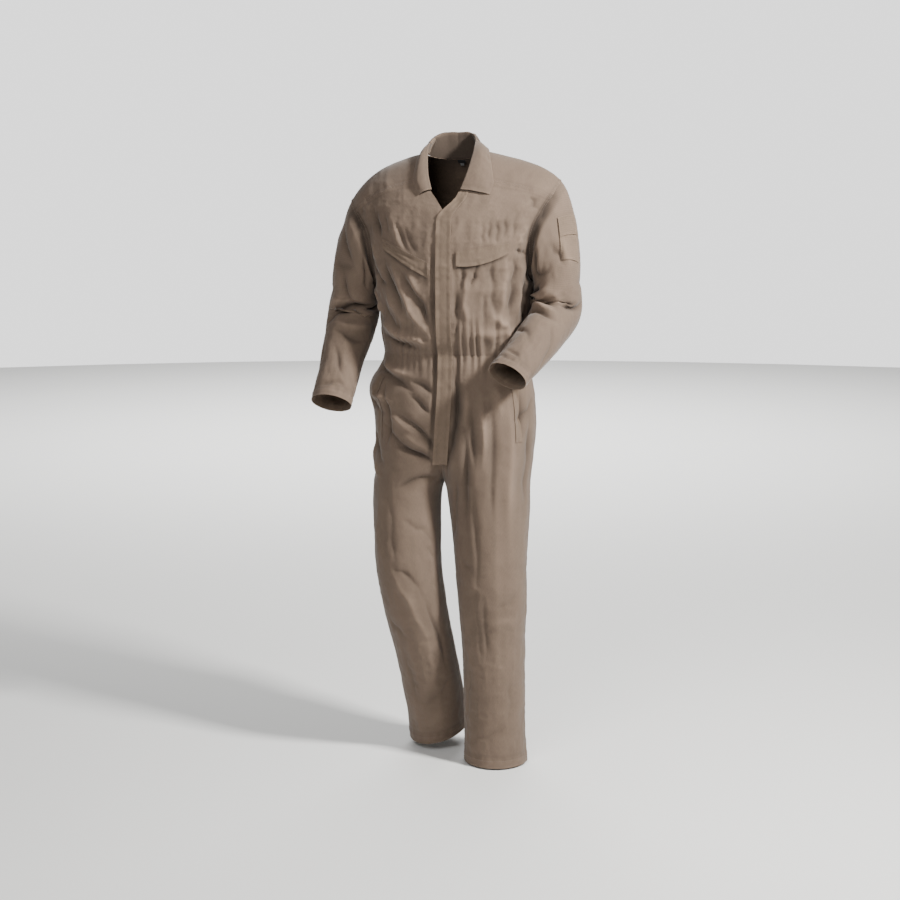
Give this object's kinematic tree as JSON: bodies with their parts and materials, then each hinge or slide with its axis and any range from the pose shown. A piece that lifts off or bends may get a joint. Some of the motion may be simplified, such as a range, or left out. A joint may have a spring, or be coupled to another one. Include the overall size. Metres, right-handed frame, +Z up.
{
  "type": "boiler suit",
  "caption": "Long-sleeved boiler suit in brown twill, filled out as if worn, with open turned-over collar, covered front closure, gathered waist, slanted chest pocket flaps and straight legs.",
  "frame": {"origin": "between the shoulders at the base of the neck, where the garment hangs on its wearer", "axes": "+X to the wearer's left, -Y to the front, +Z up along the body"},
  "size_m": [0.6527, 0.4082, 1.5909],
  "materials": {
    "twill": "matt",
    "twill_trim": "matt",
    "zip_tape": "matt",
    "label_black": "satin",
    "label_grey": "matt"
  },
  "bodies": {
    "root": {"back": "twill", "front_right": "twill", "front_left": "twill", "yoke": "twill", "sleeve_right": "twill", "sleeve_left": "twill", "trouser_front_right": "twill", "trouser_front_left": "twill", "trouser_back_right": "twill", "trouser_back_left": "twill", "collar": "twill", "placket": "twill_trim", "chest_flap_right": "twill_trim", "chest_flap_left": "twill_trim", "pocket_welt_right": "twill_trim", "pocket_welt_left": "twill_trim", "sleeve_pocket": "twill_trim", "sleeve_pocket_flap": "twill_trim", "front_zip": "zip_tape", "neck_label": "label_black", "size_tab": "label_grey"}
  },
  "joints": []
}
